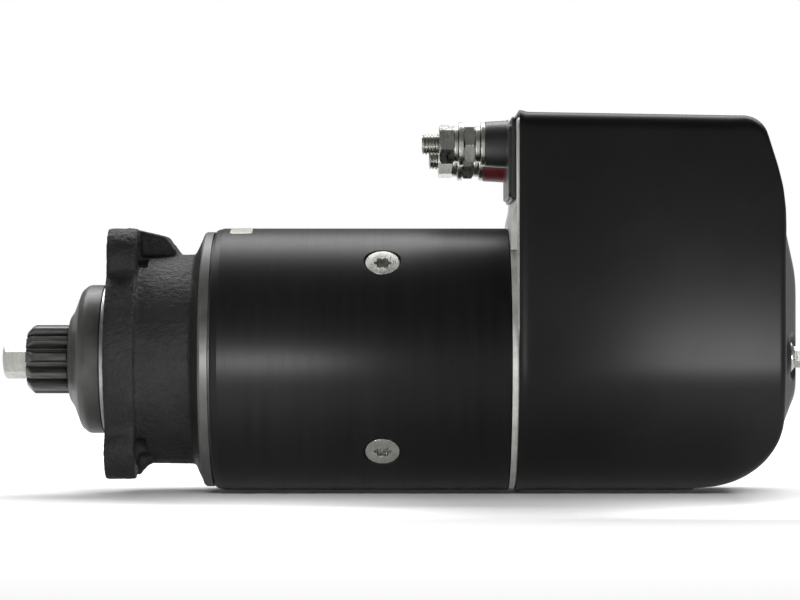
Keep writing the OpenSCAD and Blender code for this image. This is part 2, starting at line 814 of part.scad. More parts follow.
drive_housing();
nose_cap();
nose_seal();
nose_bearing();
nose_o_ring();
bearing_plate();
bearing_bush();
yoke();
pole_shoes();
pole_screws();
field_coils();
through_bolts();
end_shield();
rear_bush();
brush_holders();
brush_springs();
solenoid_case();
solenoid_winding();
solenoid_core();
solenoid_screws();
relay_frame();
relay_coil();
bus_bars();
lever_bracket();
terminal_plate();
black_insulator();
red_insulator();
terminal_studs();
outer_nuts();
inner_nuts();
spring_washers();
flat_washers();
rear_cover();
cover_seal();
cover_bolts();
cover_washers();
blank_label();
armature_shaft();
armature_core();
armature_winding();
commutator();
clutch_drum();
outer_plates();
clutch_hub();
inner_plates();
pinion_spindle();
pinion();
pinion_cap_nut();
pinion_spring();
plunger();
engagement_rod();
plunger_spring();
release_lever();
relay_armature();
contact_bridge();
relay_spring();
brush(0);  // brush_1
brush(1);  // brush_2
brush(2);  // brush_3
brush(3);  // brush_4
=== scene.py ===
"""Looks for the heavy-duty coaxial starter motor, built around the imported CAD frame.

Lengths are millimetres until a mesh is made, which turns them into metres. The rotation axis is X,
the pinion points to -X and the terminals stand at +Z. An angle round the axis counts from -Y to +Z.
"""

import json
import math

import bmesh
import bpy
from mathutils import Matrix, Vector, noise


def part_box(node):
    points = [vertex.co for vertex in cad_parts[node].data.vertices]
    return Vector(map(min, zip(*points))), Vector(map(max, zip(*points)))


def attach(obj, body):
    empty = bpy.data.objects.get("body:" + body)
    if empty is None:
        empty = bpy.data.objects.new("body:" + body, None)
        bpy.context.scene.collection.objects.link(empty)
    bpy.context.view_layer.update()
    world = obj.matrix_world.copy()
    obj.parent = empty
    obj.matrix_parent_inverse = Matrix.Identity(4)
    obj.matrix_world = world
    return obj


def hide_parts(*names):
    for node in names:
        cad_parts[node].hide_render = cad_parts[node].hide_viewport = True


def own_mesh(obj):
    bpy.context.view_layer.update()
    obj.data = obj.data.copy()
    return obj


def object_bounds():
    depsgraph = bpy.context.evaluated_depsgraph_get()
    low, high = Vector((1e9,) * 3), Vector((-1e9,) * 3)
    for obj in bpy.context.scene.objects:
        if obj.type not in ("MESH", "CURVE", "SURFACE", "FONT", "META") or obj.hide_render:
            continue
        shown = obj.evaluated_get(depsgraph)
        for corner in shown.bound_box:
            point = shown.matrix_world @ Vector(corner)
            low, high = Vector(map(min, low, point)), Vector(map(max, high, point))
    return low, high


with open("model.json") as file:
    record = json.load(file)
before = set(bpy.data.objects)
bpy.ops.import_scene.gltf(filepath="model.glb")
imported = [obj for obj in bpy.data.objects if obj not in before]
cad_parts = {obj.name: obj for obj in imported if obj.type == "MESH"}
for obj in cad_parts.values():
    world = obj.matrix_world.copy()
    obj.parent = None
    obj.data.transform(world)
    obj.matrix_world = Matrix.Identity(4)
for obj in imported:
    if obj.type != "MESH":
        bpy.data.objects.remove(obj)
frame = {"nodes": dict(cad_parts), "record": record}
cad_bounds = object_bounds()

MM = 0.001
BODY = "frame"


def box_mm(node):
    """The low and high corners of a CAD node."""
    low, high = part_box(node)
    return low / MM, high / MM


# ---------------------------------------------------------------- camera

CAMERA_DISTANCE = 1500
CAMERA_X = 159.1
CAMERA_Z = 32.8
LENS = 121.5
SENSOR = 36


def make_camera():
    """A level camera that looks square on at the side of the motor."""
    data = bpy.data.cameras.new("camera")
    data.lens = LENS
    data.sensor_width = SENSOR
    camera = bpy.data.objects.new("camera", data)
    camera.location = Vector((CAMERA_X, -CAMERA_DISTANCE, CAMERA_Z)) * MM
    camera.rotation_euler = (math.radians(90), 0, 0)
    bpy.context.scene.collection.objects.link(camera)
    bpy.context.scene.camera = camera


make_camera()

# ---------------------------------------------------------------- materials


class Nodes:
    """A small helper that builds one node material."""

    def __init__(self, name):
        self.material = bpy.data.materials.new(name)
        self.material.use_nodes = True
        self.tree = self.material.node_tree
        self.shader = self.tree.nodes["Principled BSDF"]
        self.place = self.add("ShaderNodeTexCoord").outputs["Object"]

    def add(self, kind, **settings):
        node = self.tree.nodes.new(kind)
        for key, value in settings.items():
            if key.startswith("in_"):
                node.inputs[key[3:].replace("_", " ")].default_value = value
            else:
                setattr(node, key, value)
        return node

    def link(self, output, target):
        self.tree.links.new(output, target)

    def stretched(self, scale):
        mapping = self.add("ShaderNodeMapping")
        mapping.inputs["Scale"].default_value = scale
        self.link(self.place, mapping.inputs["Vector"])
        return mapping.outputs["Vector"]

    def noise(self, scale, detail=3, rough=0.55, place=None):
        node = self.add("ShaderNodeTexNoise", in_Scale=scale, in_Detail=detail, in_Roughness=rough)
        self.link(place or self.place, node.inputs["Vector"])
        return node.outputs["Fac"]

    def ranged(self, value, low, high):
        """Spreads the 0.3 to 0.7 that a noise mostly stays within over low to high."""
        node = self.add("ShaderNodeMapRange")
        node.inputs["From Min"].default_value = 0.3
        node.inputs["From Max"].default_value = 0.7
        node.inputs["To Min"].default_value = low
        node.inputs["To Max"].default_value = high
        self.link(value, node.inputs["Value"])
        return node.outputs["Result"]

    def mixed(self, factor, first, second):
        node = self.add("ShaderNodeMix", data_type="RGBA")
        self.link(factor, node.inputs["Factor"])
        for socket, colour in (("A", first), ("B", second)):
            target = [s for s in node.inputs if s.name == socket and s.type == "RGBA"][0]
            if isinstance(colour, tuple):
                target.default_value = (*colour, 1)
            else:
                self.link(colour, target)
        return [s for s in node.outputs if s.type == "RGBA"][0]

    def summed(self, first, second, weight):
        node = self.add("ShaderNodeMath", operation="MULTIPLY_ADD")
        self.link(second, node.inputs[0])
        node.inputs[1].default_value = weight
        self.link(first, node.inputs[2])
        return node.outputs[0]

    def finish(self, colour, roughness, height=None, depth=0.0001, metallic=0.0, specular=0.5):
        self.link(colour, self.shader.inputs["Base Color"])
        self.link(roughness, self.shader.inputs["Roughness"])
        self.shader.inputs["Metallic"].default_value = metallic
        self.shader.inputs["Specular IOR Level"].default_value = specular
        if height is not None:
            bump = self.add("ShaderNodeBump", in_Strength=1.0, in_Distance=depth)
            self.link(height, bump.inputs["Height"])
            self.link(bump.outputs["Normal"], self.shader.inputs["Normal"])
        return self.material


def cast_paint():
    """Thin black paint over rough sand casting."""
    n = Nodes("cast_black_paint")
    grain = n.noise(1100, 4, 0.6)
    lumps = n.noise(330, 3, 0.5)
    dust = n.noise(60, 3, 0.6)
    colour = n.mixed(n.ranged(dust, 0, 1), (0.006, 0.006, 0.006), (0.012, 0.012, 0.0115))
    roughness = n.ranged(grain, 0.42, 0.62)
    return n.finish(colour, roughness, n.summed(grain, lumps, 1.2), 0.0006, specular=0.18)


def satin_paint():
    """Smooth satin black enamel with a faint orange peel and handling marks."""
    n = Nodes("satin_black_paint")
    peel = n.noise(900, 2, 0.5)
    marks = n.noise(22, 4, 0.6)
    colour = n.mixed(n.ranged(marks, 0, 1), (0.003, 0.003, 0.003), (0.005, 0.005, 0.0048))
    roughness = n.ranged(marks, 0.38, 0.42)
    return n.finish(colour, roughness, peel, 0.000015, specular=0.13)


def turned_paint():
    """Black paint over a lathe-turned tube: fine grooves run round the axis."""
    n = Nodes("turned_black_paint")
    grooves = n.noise(1, 4, 0.7, n.stretched((1700, 9, 9)))
    bands = n.noise(1, 3, 0.6, n.stretched((220, 12, 12)))
    colour = n.mixed(n.ranged(bands, 0, 1), (0.003, 0.003, 0.003), (0.005, 0.005, 0.0048))
    roughness = n.ranged(grooves, 0.36, 0.44)
    return n.finish(colour, roughness, n.summed(grooves, bands, 0.5), 0.00004, specular=0.13)


def dark_machined():
    """Dark grey coated steel, turned fine, with soft cloudy wear."""
    n = Nodes("dark_machined")
    grooves = n.noise(1, 4, 0.6, n.stretched((1400, 14, 14)))
    clouds = n.noise(70, 4, 0.65)
    colour = n.mixed(n.ranged(clouds, 0, 1), (0.035, 0.035, 0.034), (0.065, 0.065, 0.062))
    roughness = n.ranged(clouds, 0.38, 0.52)
    return n.finish(colour, roughness, grooves, 0.00004, metallic=0.35)


def bright_steel(name, tint, rough_low, rough_high):
    """Bright metal with fine directional scratches and slightly uneven plating."""
    n = Nodes(name)
    scratches = n.noise(1, 5, 0.7, n.stretched((900, 260, 260)))
    clouds = n.noise(130, 4, 0.6)
    dark = tuple(c * 0.72 for c in tint)
    colour = n.mixed(n.ranged(clouds, 0, 1), dark, tint)
    roughness = n.ranged(scratches, rough_low, rough_high)
    return n.finish(colour, roughness, scratches, 0.00003, metallic=1.0)


def phosphate_steel():
    """Dark phosphated gear steel, with polished streaks where teeth have run."""
    n = Nodes("phosphated_steel")
    streaks = n.noise(1, 4, 0.6, n.stretched((90, 900, 900)))
    grain = n.noise(1500, 3, 0.6)
    colour = n.mixed(n.ranged(streaks, 0, 1), (0.035, 0.035, 0.035), (0.11, 0.11, 0.106))
    roughness = n.ranged(grain, 0.3, 0.46)
    return n.finish(colour, roughness, grain, 0.00003, metallic=0.75)


def raw_aluminium():
    """Die-cast aluminium, slightly rough and grey."""
    n = Nodes("raw_aluminium")
    grain = n.noise(900, 4, 0.6)
    clouds = n.noise(90, 3, 0.6)
    colour = n.mixed(n.ranged(clouds, 0, 1), (0.42, 0.42, 0.4), (0.6, 0.6, 0.58))
    roughness = n.ranged(grain, 0.45, 0.62)
    return n.finish(colour, roughness, grain, 0.00012, metallic=0.8)


def moulded(name, dark, light, rough_low=0.38, rough_high=0.52):
    """Moulded plastic with a fine spark-eroded texture."""
    n = Nodes(name)
    grain = n.noise(1300, 2, 0.5)
    clouds = n.noise(80, 3, 0.6)
    colour = n.mixed(n.ranged(clouds, 0, 1), dark, light)
    return n.finish(colour, n.ranged(grain, rough_low, rough_high), grain, 0.00004)


def label_foil():
    """Blank foil: a pale ground with a fine speckle."""
    n = Nodes("label_foil")
    speckle = n.noise(1600, 2, 0.5)
    clouds = n.noise(140, 3, 0.6)
    colour = n.mixed(n.ranged(clouds, 0, 1), (0.24, 0.24, 0.21), (0.42, 0.42, 0.38))
    return n.finish(colour, n.ranged(speckle, 0.35, 0.5), speckle, 0.00002, metallic=0.3)


def copper_wire():
    """Enamelled copper winding: fine ridges round the axis."""
    n = Nodes("enamelled_copper")
    ridges = n.noise(1, 2, 0.5, n.stretched((1100, 30, 30)))
    colour = n.mixed(n.ranged(ridges, 0, 1), (0.3, 0.09, 0.035), (0.62, 0.25, 0.11))
    return n.finish(colour, n.ranged(ridges, 0.25, 0.45), ridges, 0.0001, metallic=0.8)


MATERIALS = {
    "cast_black": cast_paint(),
    "black_paint": satin_paint(),
    "yoke_paint": turned_paint(),
    "machined_dark": dark_machined(),
    "zinc": bright_steel("bright_zinc", (0.44, 0.44, 0.41), 0.2, 0.42),
    "pinion_steel": phosphate_steel(),
    "aluminium": raw_aluminium(),
    "black_plastic": moulded("black_moulding", (0.006, 0.006, 0.006), (0.013, 0.013, 0.012)),
    "red_plastic": moulded("red_moulding", (0.07, 0.004, 0.006), (0.11, 0.008, 0.01)),
    "label": label_foil(),
    "steel": bright_steel("machined_steel", (0.42, 0.42, 0.43), 0.3, 0.48),
    "copper": copper_wire(),
    "bronze": bright_steel("sintered_bronze", (0.5, 0.32, 0.12), 0.4, 0.6),
    "carbon": moulded("carbon", (0.02, 0.02, 0.02), (0.05, 0.05, 0.05), 0.5, 0.7),
    "rubber_black": moulded("seal_rubber", (0.006, 0.006, 0.006), (0.015, 0.015, 0.015), 0.5, 0.7),
    "friction": moulded("clutch_lining", (0.1, 0.08, 0.06), (0.2, 0.17, 0.13), 0.6, 0.8),
}

# ---------------------------------------------------------------- mesh helpers

SMOOTH_ANGLE = math.radians(32)


def finish_piece(obj, slot, body=BODY, material=None, replaces=()):
    """Gives a new object its material and body, and hides the CAD nodes that it replaces."""
    obj.data.materials.clear()
    obj.data.materials.append(MATERIALS[material or slot])
    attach(obj, body)
    if replaces:
        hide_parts(*replaces)
    return obj


def new_object(name, verts, faces, smooth=SMOOTH_ANGLE):
    """An object from millimetre points, with outward normals and smooth shading up to an angle."""
    mesh = bpy.data.meshes.new(name)
    mesh.from_pydata([Vector(v) * MM for v in verts], [], faces)
    tidy_mesh(mesh, smooth)
    obj = bpy.data.objects.new(name, mesh)
    bpy.context.scene.collection.objects.link(obj)
    return obj


def tidy_mesh(mesh, smooth=SMOOTH_ANGLE):
    """Merges doubles, points the normals outwards and shades smooth up to an angle."""
    bm = bmesh.new()
    bm.from_mesh(mesh)
    bmesh.ops.remove_doubles(bm, verts=bm.verts, dist=1e-7)
    bmesh.ops.recalc_face_normals(bm, faces=bm.faces)
    bm.to_mesh(mesh)
    bm.free()
    mesh.shade_smooth()
    mesh.set_sharp_from_angle(angle=smooth)


def apply_modifiers(obj):
    """Replaces an object's mesh with its evaluated one."""
    graph = bpy.context.evaluated_depsgraph_get()
    mesh = bpy.data.meshes.new_from_object(obj.evaluated_get(graph))
    old = obj.data
    obj.modifiers.clear()
    obj.data = mesh
    bpy.data.meshes.remove(old)
    return obj


def cut(obj, *cutters):
    """Subtracts other objects, which are removed."""
    for cutter in cutters:
        boolean = obj.modifiers.new("cut", "BOOLEAN")
        boolean.operation = "DIFFERENCE"
        boolean.solver = "EXACT"
        boolean.object = cutter
    apply_modifiers(obj)
    for cutter in cutters:
        bpy.data.objects.remove(cutter)
    return obj


def filleted(points, steps=6):
    """A closed path with rounded corners: each point is (a, b) or (a, b, radius)."""
    out = []
    count = len(points)
    for i, point in enumerate(points):
        here = Vector(point[:2])
        radius = point[2] if len(point) > 2 else 0
        if radius <= 0:
            out.append(tuple(here))
            continue
        before = Vector(points[i - 1][:2]) - here
        after = Vector(points[(i + 1) % count][:2]) - here
        angle = before.angle(after)
        reach = radius / math.tan(angle / 2)
        reach = min(reach, before.length * 0.49, after.length * 0.49)
        radius = reach * math.tan(angle / 2)
        start = here + before.normalized() * reach
        end = here + after.normalized() * reach
        centre = here + (before.normalized() + after.normalized()).normalized() * (
            radius / math.sin(angle / 2))
        first = start - centre
        turn = first.angle_signed(end - centre)
        for k in range(steps + 1):
            out.append(tuple(centre + Matrix.Rotation(-turn * k / steps, 2) @ first))
    return out


def strips(rings, count, wrap=False):
    """Quads between consecutive rings of count points; wrap joins the last ring to the first."""
    faces = []
    for s in range(rings if wrap else rings - 1):
        t = (s + 1) % rings
        for i in range(count):
            j = (i + 1) % count
            faces.append((s * count + i, s * count + j, t * count + j, t * count + i))
    return faces


def end_caps(rings, count):
    """One face across the first ring and one, the other way round, across the last."""
    total = rings * count
    return [tuple(range(count)), tuple(range(total - 1, total - count - 1, -1))]


def lathe(name, profile, segments=160, steps=6, centre=(0, 0)):
    """Turns a closed (x, radius) outline round the X axis, or round a line through centre (y, z)."""
    path = filleted(profile, steps)
    verts = []
    for k in range(segments):
        angle = 2 * math.pi * k / segments
        for x, r in path:
            verts.append((x, centre[0] - r * math.cos(angle), centre[1] + r * math.sin(angle)))
    return new_object(name, verts, strips(segments, len(path), wrap=True))


def prism_x(name, outline, x0, x1, bevel=0.0):
    """Extrudes a (y, z) outline along X, with a chamfer of the given size on both ends."""
    count = len(outline)
    rings = [(x0, bevel), (x0 + bevel, 0), (x1 - bevel, 0), (x1, bevel)] if bevel else [(x0, 0), (x1, 0)]
    verts = []
    for x, inset in rings:
        verts += [(x, *p) for p in shrunk(outline, inset)]
    return new_object(name, verts, end_caps(len(rings), count) + strips(len(rings), count))


def shrunk(outline, inset):
    """The outline moved inwards along its own normals."""
    if not inset:
        return outline
    area = sum(a[0] * b[1] - b[0] * a[1] for a, b in zip(outline, outline[1:] + outline[:1]))
    side = 1 if area > 0 else -1
    out = []
    for i, point in enumerate(outline):
        before = Vector(point) - Vector(outline[i - 1])
        after = Vector(outline[(i + 1) % len(outline)]) - Vector(point)
        tangent = (before.normalized() + after.normalized()).normalized()
        out.append((point[0] - side * tangent.y * inset, point[1] + side * tangent.x * inset))
    return out


def around(obj, angle):
    """Turns an object built on the -Y side to an angle round the X axis."""
    obj.data.transform(Matrix.Rotation(-math.radians(angle), 4, "X"))
    return obj


def joined(name, objects):
    """Joins several objects' meshes into one object."""
    bm = bmesh.new()
    for obj in objects:
        bm.from_mesh(obj.data)
    mesh = bpy.data.meshes.new(name)
    bm.to_mesh(mesh)
    bm.free()
    for obj in objects:
        bpy.data.objects.remove(obj)
    mesh.shade_smooth()
    mesh.set_sharp_from_angle(angle=SMOOTH_ANGLE)
    obj = bpy.data.objects.new(name, mesh)
    bpy.context.scene.collection.objects.link(obj)
    return obj


def polar(radius, angle):
    """(y, z) at an angle in degrees counted from -Y towards +Z."""
    turn = math.radians(angle)
    return -radius * math.cos(turn), radius * math.sin(turn)


# ---------------------------------------------------------------- dimensions from the frame

mounts = {m["name"]: m for m in frame["record"]["mounts"]}
PILOT_R = mounts["pilot"]["dims"]["r_mm"]
PILOT_W = mounts["pilot"]["dims"]["length_mm"]
BOLT_R = mounts["mounting_bolts"]["dims"]["pcd_mm"] / 2
HOLE_R = mounts["mounting_bolts"]["dims"]["hole_r_mm"]
STUD_R = mounts["near_terminal"]["dims"]["r_mm"]
YOKE_X0, YOKE_X1 = box_mm("yoke")[0].x, box_mm("yoke")[1].x
YOKE_R = 72.5
HOUSING_X1 = box_mm("drive_housing")[1].x
FLANGE_T = 16.4
LOBE_R = 15.3
LOBE_ANGLES = [67.3 - 120 * i for i in range(3)]
POLE_ANGLES = [47.5 - 90 * i for i in range(4)]
POLE_X = 149.7
NUT_FLATS = 19
THREAD_PITCH = 1.75
NEAR_STUD = tuple(v / MM for v in mounts["near_terminal"]["pos_m"][1:])
FAR_STUD = tuple(v / MM for v in mounts["far_terminal"]["pos_m"][1:])


# ---------------------------------------------------------------- drive housing

def flange_outline():
    """The lobed outline: a round plate, three round lobes and concave fillets between them."""
    plate_r, fillet = 60.0, 8.0
    reach = BOLT_R
    gap = plate_r + fillet
    lobe_reach = LOBE_R + fillet
    # The fillet circle touches the plate and the lobe, so its centre is where two circles cross.
    along = (gap ** 2 - lobe_reach ** 2 + reach ** 2) / (2 * reach)
    across = math.sqrt(gap ** 2 - along ** 2)
    touch = math.degrees(math.atan2(across, along))
    points = []
    for lobe in reversed(LOBE_ANGLES):
        lobe_centre = Vector(polar(BOLT_R, lobe))
        for side in (-1, 1):
            fillet_centre = Vector(polar(gap, lobe + side * touch))
            plate_point = fillet_centre.normalized() * plate_r
            lobe_point = lobe_centre + (fillet_centre - lobe_centre).normalized() * LOBE_R
            ends = (plate_point, lobe_point) if side < 0 else (lobe_point, plate_point)
            start, end = (p - fillet_centre for p in ends)
            turn = start.angle_signed(end)
            arc = [fillet_centre + Matrix.Rotation(-turn * k / 8, 2) @ start for k in range(9)]
            if side > 0:
                first = points[-1] - lobe_centre
                sweep = first.angle_signed(arc[0] - lobe_centre) % (2 * math.pi)
                points += [lobe_centre + Matrix.Rotation(-sweep * k / 24, 2) @ first
                           for k in range(1, 24)]
            points += arc
        start_angle = lobe + touch
        end_angle = lobe + 120 - touch
        points += [Vector(polar(plate_r, start_angle + (end_angle - start_angle) * k / 30))
                   for k in range(1, 30)]
    return [tuple(p) for p in points]


def roughen(obj, size, depth, seed):
    """Moves every vertex along its normal by two octaves of noise."""
    mesh = obj.data
    shift = Vector((seed, seed * 2.3, seed * 0.7))
    normals = [v.normal.copy() for v in mesh.vertices]
    for vertex, normal in zip(mesh.vertices, normals):
        place = vertex.co / (size * MM) + shift
        height = noise.noise(place) + 0.5 * noise.noise(place * 2.7)
        vertex.co += normal * (height * depth * MM)


SEAT_R = 36          # bore for the nose cap's spigot
CAVITY_R = 47.6      # bore for the clutch
NECK_R = 58.0
RIM_R = 70.2
VOXEL = 0.95
GUSSET_TURN = 17


def ribs():
    """The web beside the top lobe, and one gusset behind each of the other lobes."""
    outline = ((8, 40), (8, 73), (29.5, 68), (38.5, 56), (38.5, 40))
    made = [new_object("web", [(x, y, z) for y in (-10, 21) for x, z in outline],
                       end_caps(2, len(outline)) + strips(2, len(outline)))]
    outline = ((14, -50), (14, -66), (17, -66), (21, -61), (29, -57), (29, -50))
    for lobe in LOBE_ANGLES[1:]:
        gusset = new_object("gusset", [(x, y, z) for z in (-4, 4) for x, y in outline],
                            end_caps(2, len(outline)) + strips(2, len(outline)))
        made.append(around(gusset, lobe - GUSSET_TURN))
    return made


def cast_housing():
    """One voxel-blended casting: flange, ribs, neck and flare, with sand texture on its surface."""
    rim_x = HOUSING_X1 - 3.2
    parts = [
        prism_x("flange", flange_outline(), 0, FLANGE_T),
        lathe("neck", [(5, 47), (5, NECK_R - 0.5), (46.4, NECK_R), (52.0, RIM_R), (rim_x, RIM_R),
                       (rim_x, 47)]),
    ]
    body = joined("cast_housing", parts + ribs())
    remesh = body.modifiers.new("remesh", "REMESH")
    remesh.mode = "VOXEL"
    remesh.voxel_size = VOXEL * MM
    soften = body.modifiers.new("soften", "SMOOTH")
    soften.factor = 0.5
    soften.iterations = 10
    apply_modifiers(body)
    roughen(body, 2.2, 0.24, 3.1)
    cutters = [drill("hole", -5, FLANGE_T + 5, HOLE_R, polar(BOLT_R, lobe)) for lobe in LOBE_ANGLES]
    cutters.append(drill("seat", -5, 5.5, SEAT_R, (0, 0), 128))
    cutters.append(drill("cavity", 4.6, 70, CAVITY_R, (0, 0), 160))
    cut(body, *cutters)
    tidy_mesh(body.data, math.radians(50))
    return finish_piece(body, "cast_black", replaces=("drive_housing",))


def drill(name, x0, x1, radius, centre, segments=48):
    """A cutter for a round hole along X."""
    outline = [(centre[0] - radius * math.cos(2 * math.pi * k / segments),
                centre[1] + radius * math.sin(2 * math.pi * k / segments)) for k in range(segments)]
    return prism_x(name, outline, x0, x1)


def pilot_ring():
    """The bright machined spigot in front of the flange."""
    ring = lathe("pilot_ring", [(-PILOT_W, 35.9), (-PILOT_W, PILOT_R, 0.5), (1.2, PILOT_R), (1.2, 35.9)], 192)
    return finish_piece(ring, "machined_dark", material="steel")


def rim_band():
    """The machined band where the casting meets the yoke."""
    x1 = HOUSING_X1
    band = lathe("rim_band", [(x1 - 6.4, 50), (x1 - 6.4, 69.6, 0.6), (x1 - 5.2, 70.5, 0.5),
                              (x1 - 0.9, 70.5, 0.5), (x1 - 0.9, 68.5), (x1, 68.5), (x1, 50)], 192)
    return finish_piece(band, "cast_black", material="machined_dark")


cast_housing()
pilot_ring()
rim_band()


# ---------------------------------------------------------------- nose cap and pinion

def nose_cap():
    """The turned cap with its rounded nose, bored for the spindle."""
    x0 = box_mm("nose_cap")[0].x
    cap = lathe("nose_cap_machined", [
        (x0 + 0.6, 17), (x0, 18.2, 0.5), (x0, 23.2, 1.6), (-20.6, 27.0, 3.0), (-18.7, 32.0, 5.0),
        (-16.3, 38.2, 5.0), (-12.6, 41.1, 4.5), (-PILOT_W - 0.35, 41.1, 0.4), (-PILOT_W - 0.35, 40.2),
        (-PILOT_W, 40.2), (-PILOT_W, 35.9), (4, 35.9), (4, 17)], 192, 8)
    return finish_piece(cap, "machined_dark", replaces=("nose_cap",))


def involute(angle):
    """How far an involute has turned at a pressure angle."""
    return math.tan(angle) - angle


TEETH = 11
TIP_R = 19.0
MODULE = 3.0
PRESSURE = math.radians(20)
TOOTH_TURN = math.radians(5)


def tooth_outline():
    """One tooth with half the root on both sides, as (radius, angle) points."""
    base_r = MODULE * TEETH / 2 * math.cos(PRESSURE)
    root_r = TIP_R - 2.05 * MODULE
    half_pitch = math.radians(90 / TEETH + 1.5)
    half_step = math.pi / TEETH
    root_sag = 0.25

    def half_at(radius):
        base = math.acos(min(1, base_r / max(radius, base_r)))
        return half_pitch + involute(PRESSURE) - involute(base)

    root_gap = half_step - half_at(root_r)
    root = [(root_r - root_sag * math.sin(math.pi * k / 5), -half_step + root_gap * k / 5)
            for k in range(1, 5)]
    flank = [root_r + (TIP_R - root_r) * k / 12 for k in range(13)]
    rising = root + [(r, -half_at(r)) for r in flank]
    tip = [(TIP_R, half_at(TIP_R) * (2 * k / 4 - 1)) for k in range(1, 4)]
    return rising + tip + [(r, -a) for r, a in reversed(rising)]


def pinion():
    """Eleven involute teeth with chamfered fronts and rounded roots, on a bored hub."""
    (x0, _, _), (x1, _, _) = box_mm("pinion")
    step = 2 * math.pi / TEETH
    outline = [(r, a + step * t + TOOTH_TURN) for t in range(TEETH) for r, a in tooth_outline()]
    bore_r = 9.6
    stations = [(x0, bore_r), (x0, 15.0), (x0 + 0.25, 15.4), (x0 + 1.2, 16.4), (x0 + 2.4, 17.7),
                (x0 + 3.5, 18.8), (x0 + 3.9, TIP_R)]
    stations += [(x0 + 4 + (x1 - x0 - 5) * k / 6, TIP_R) for k in range(1, 7)]
    stations += [(x1 - 0.5, TIP_R), (x1 - 0.2, 18.8), (x1, 18.4), (x1, bore_r)]
    verts = []
    for x, limit in stations:
        for r, a in outline:
            r = min(r, limit)
            verts.append((x, -r * math.cos(a), r * math.sin(a)))
    gear = new_object("pinion_gear", verts, strips(len(stations), len(outline), wrap=True))
    return finish_piece(gear, "pinion_steel", "pinion_drive", replaces=("pinion",))


def hex_solid(name, flats, x0, x1, turn, chamfers, bore_r=0, centre=(0, 0)):
    """A hexagon prism whose corners are turned down to chamfer radii, as (front, rear) or 0.

    Each ring's radius at an angle is the hexagon's own radius, cut back to that station's limit."""
    apothem = flats / 2
    corner = flats / math.sqrt(3)
    count = 60
    angles = [math.radians(360 * k / count - 30) for k in range(count)]

    def hexagon(angle):
        local = (angle + math.pi / 6) % (math.pi / 3) - math.pi / 6
        return apothem / math.cos(local)

    chamfer_slope = 0.58

    def stations(start, inward, chamfer):
        """Limit radii along the axis from one end face towards the middle."""
        if not chamfer:
            return [(start, corner)]
        out = []
        for k in range(7):
            limit = chamfer + (corner - chamfer) * k / 6
            out.append((start + inward * (limit - chamfer) * chamfer_slope, limit))
        return out

    front = stations(x0, 1, chamfers[0])
    rear = stations(x1, -1, chamfers[1])[::-1]
    rings = [(x, [min(hexagon(a), limit) for a in angles]) for x, limit in front + rear]
    if bore_r:
        lead = 0.6
        bore, mouth = [bore_r] * count, [bore_r + lead] * count
        rings = [(x0 + lead, bore), (x0, mouth)] + rings + [(x1, mouth), (x1 - lead, bore)]
    verts = []
    for x, radii in rings:
        for a, r in zip(angles, radii):
            verts.append((x, centre[0] - r * math.cos(a + math.radians(turn)),
                          centre[1] + r * math.sin(a + math.radians(turn))))
    faces = strips(len(rings), count, wrap=bore_r > 0)
    if not bore_r:
        faces += end_caps(len(rings), count)
    return new_object(name, verts, faces, math.radians(24))


def cap_nut():
    """The hex nut on the pinion spindle, with a domed front."""
    low, high = box_mm("pinion_cap_nut")
    nut = hex_solid("cap_nut", NUT_FLATS, low.x + 1.0, high.x, -8, (9.3, 10.4))
    dome = lathe("cap_dome", [(low.x + 1.4, 0.01), (low.x + 1.4, 9.25, 0.2), (low.x + 0.9, 9.1, 0.8),
                              (low.x + 0.25, 6.5, 2.0), (low.x, 0.01)], 96)
    obj = joined("spindle_cap_nut", [nut, dome])
    return finish_piece(obj, "zinc", "pinion_drive", replaces=("pinion_cap_nut",))


nose_cap()
pinion()
cap_nut()


# ---------------------------------------------------------------- yoke

YOKE_BORE_R = 62.5
REGISTER_R = 66.05   # recess that centres the yoke on the bearing plate


def yoke():
    """The turned tube with its front chamfer and four countersunk screw holes."""
    x0, x1 = YOKE_X0, YOKE_X1
    ring = [(x0, REGISTER_R), (x0, 71.0, 0.35), (x0 + 1.0, 71.6, 0.4), (x0 + 4.2, YOKE_R, 1.2)]
    ring += [(x0 + 4.2 + (x1 - x0 - 6) * k / 40, YOKE_R) for k in range(1, 40)]
    ring += [(x1 - 0.9, YOKE_R, 0.4), (x1, YOKE_R - 0.9), (x1, YOKE_BORE_R), (x0 + 8, YOKE_BORE_R),
             (x0 + 8, REGISTER_R)]
    tube = lathe("yoke_tube", ring, 224)
    cutters = []
    for pole in POLE_ANGLES:
        cutter = lathe("sink", [(55, 0.01), (55, 5.5), (YOKE_R - 5.1, 5.5), (YOKE_R - 0.35, 10.35),
                                (YOKE_R + 3, 10.9), (YOKE_R + 3, 0.01)], 64)
        cutter.data.transform(radial_place(POLE_X, pole))
        cutters.append(cutter)
    cut(tube, *cutters)
    tidy_mesh(tube.data, math.radians(28))
    smooth_tube(tube, YOKE_R)
    return finish_piece(tube, "black_paint", material="yoke_paint", replaces=("yoke",))


def smooth_tube(obj, radius):
    """Gives the corners that lie on the turned surface exactly radial normals."""
    mesh = obj.data
    normals = []
    for polygon in mesh.polygons:
        on_tube = all(abs(math.hypot(*mesh.vertices[v].co.yz) - radius * MM) < 2e-5
                      for v in polygon.vertices)
        for loop in polygon.loop_indices:
            if on_tube:
                co = mesh.vertices[mesh.loops[loop].vertex_index].co
                normals.append(Vector((0, co.y, co.z)).normalized())
            else:
                normals.append(mesh.corner_normals[loop].vector.copy())
    mesh.normals_split_custom_set(normals)


def radial_place(x, angle):
    """Takes a shape built along +X from the origin to stand radially out of the axis at (x, angle)."""
    y, z = polar(1, angle)
    out = Vector((0, y, z))
    side = Vector((1, 0, 0))
    turn = Matrix((out, side, out.cross(side))).transposed().to_4x4()
    return Matrix.Translation((x * MM, 0, 0)) @ turn


